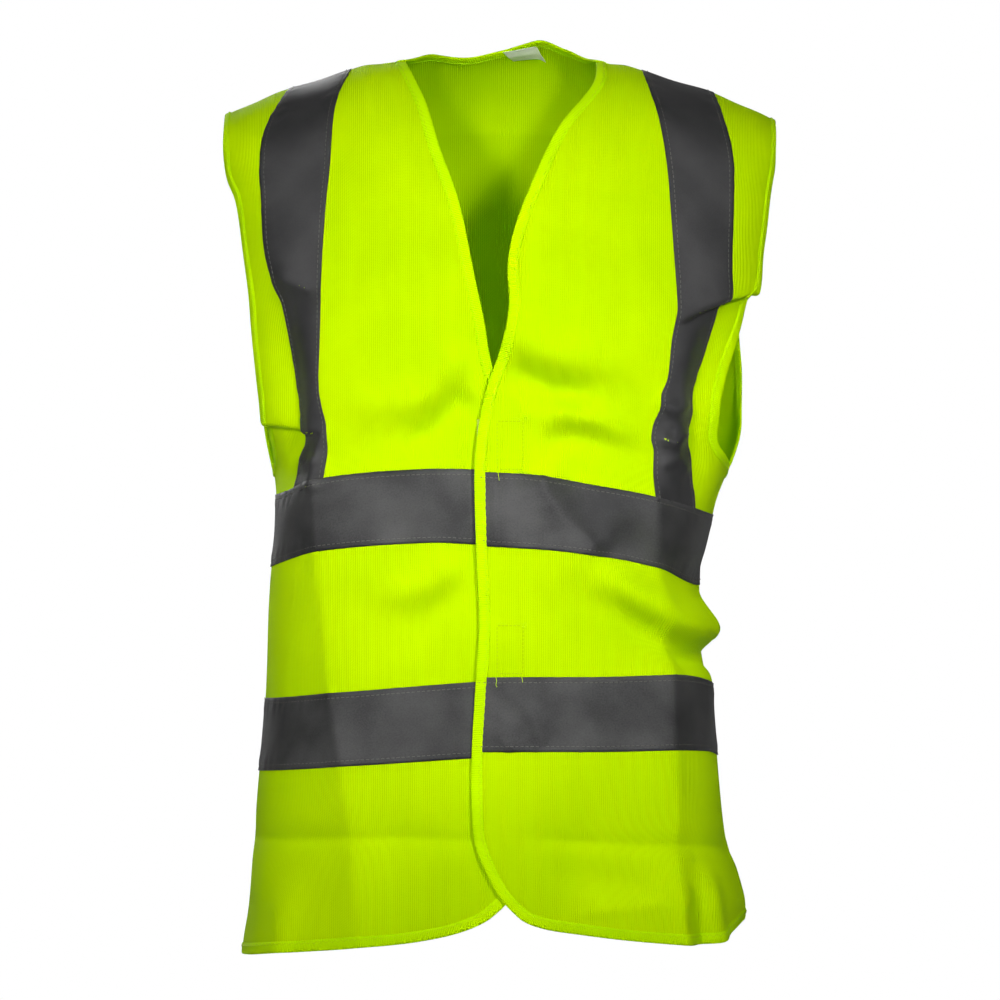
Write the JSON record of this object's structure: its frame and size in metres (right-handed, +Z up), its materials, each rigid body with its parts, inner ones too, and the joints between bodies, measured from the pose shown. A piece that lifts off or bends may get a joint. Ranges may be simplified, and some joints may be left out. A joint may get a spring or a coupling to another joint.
{
  "type": "high visibility vest",
  "caption": "Sleeveless V-neck high visibility vest, worn shape: knitted panels, reflective bands and braces, bound edges, overlapping hook and loop front.",
  "frame": {"origin": "midway between the two neck points of the shoulder line, where the vest rests on the shoulders", "axes": "+Z up, +X towards the wearer's left, the front of the vest faces -Y"},
  "size_m": [0.3836, 0.2299, 0.5989],
  "materials": {
    "knit": "matte",
    "reflective_tape": "satin",
    "binding": "matte",
    "seam_thread": "matte",
    "hook_nylon": "matte",
    "loop_nylon": "matte",
    "label": "satin"
  },
  "bodies": {
    "vest": {"back_panel": "knit", "left_front_side_panel": "knit", "right_front_side_panel": "knit", "upper_band_left_side": "reflective_tape", "upper_band_right_side": "reflective_tape", "upper_band_back": "reflective_tape", "lower_band_left_side": "reflective_tape", "lower_band_right_side": "reflective_tape", "lower_band_back": "reflective_tape", "left_brace_tape": "reflective_tape", "left_hem_binding": "binding", "left_armhole_binding": "binding", "left_shoulder_seam": "seam_thread", "left_side_seam": "seam_thread", "right_brace_tape": "reflective_tape", "right_hem_binding": "binding", "right_armhole_binding": "binding", "right_shoulder_seam": "seam_thread", "right_side_seam": "seam_thread", "neck_binding": "binding", "back_hem_binding": "binding", "neck_label": "label"},
    "left_front": {"left_front_centre_panel": "knit", "left_front_edge_binding": "binding", "upper_band_left_centre": "reflective_tape", "lower_band_left_centre": "reflective_tape", "upper_loop_patch": "loop_nylon", "lower_loop_patch": "loop_nylon"},
    "right_front": {"right_front_centre_panel": "knit", "right_front_edge_binding": "binding", "upper_band_right_centre": "reflective_tape", "lower_band_right_centre": "reflective_tape", "upper_hook_patch": "hook_nylon", "lower_hook_patch": "hook_nylon"}
  },
  "joints": [
    {"name": "left_front_swing", "type": "hinge", "parent": "vest", "child": "left_front", "pos_m": [0.026, -0.1132, -0.088], "axis": [-0.1775, 0.0058, 0.9841], "range_deg": [0, 160]},
    {"name": "right_front_swing", "type": "hinge", "parent": "vest", "child": "right_front", "pos_m": [-0.026, -0.1092, -0.088], "axis": [-0.1775, -0.0058, -0.9841], "range_deg": [0, 60]}
  ],
  "couplings": [
    {"joint": "right_front_swing", "follows": "left_front_swing", "ratio": 0.375}
  ]
}
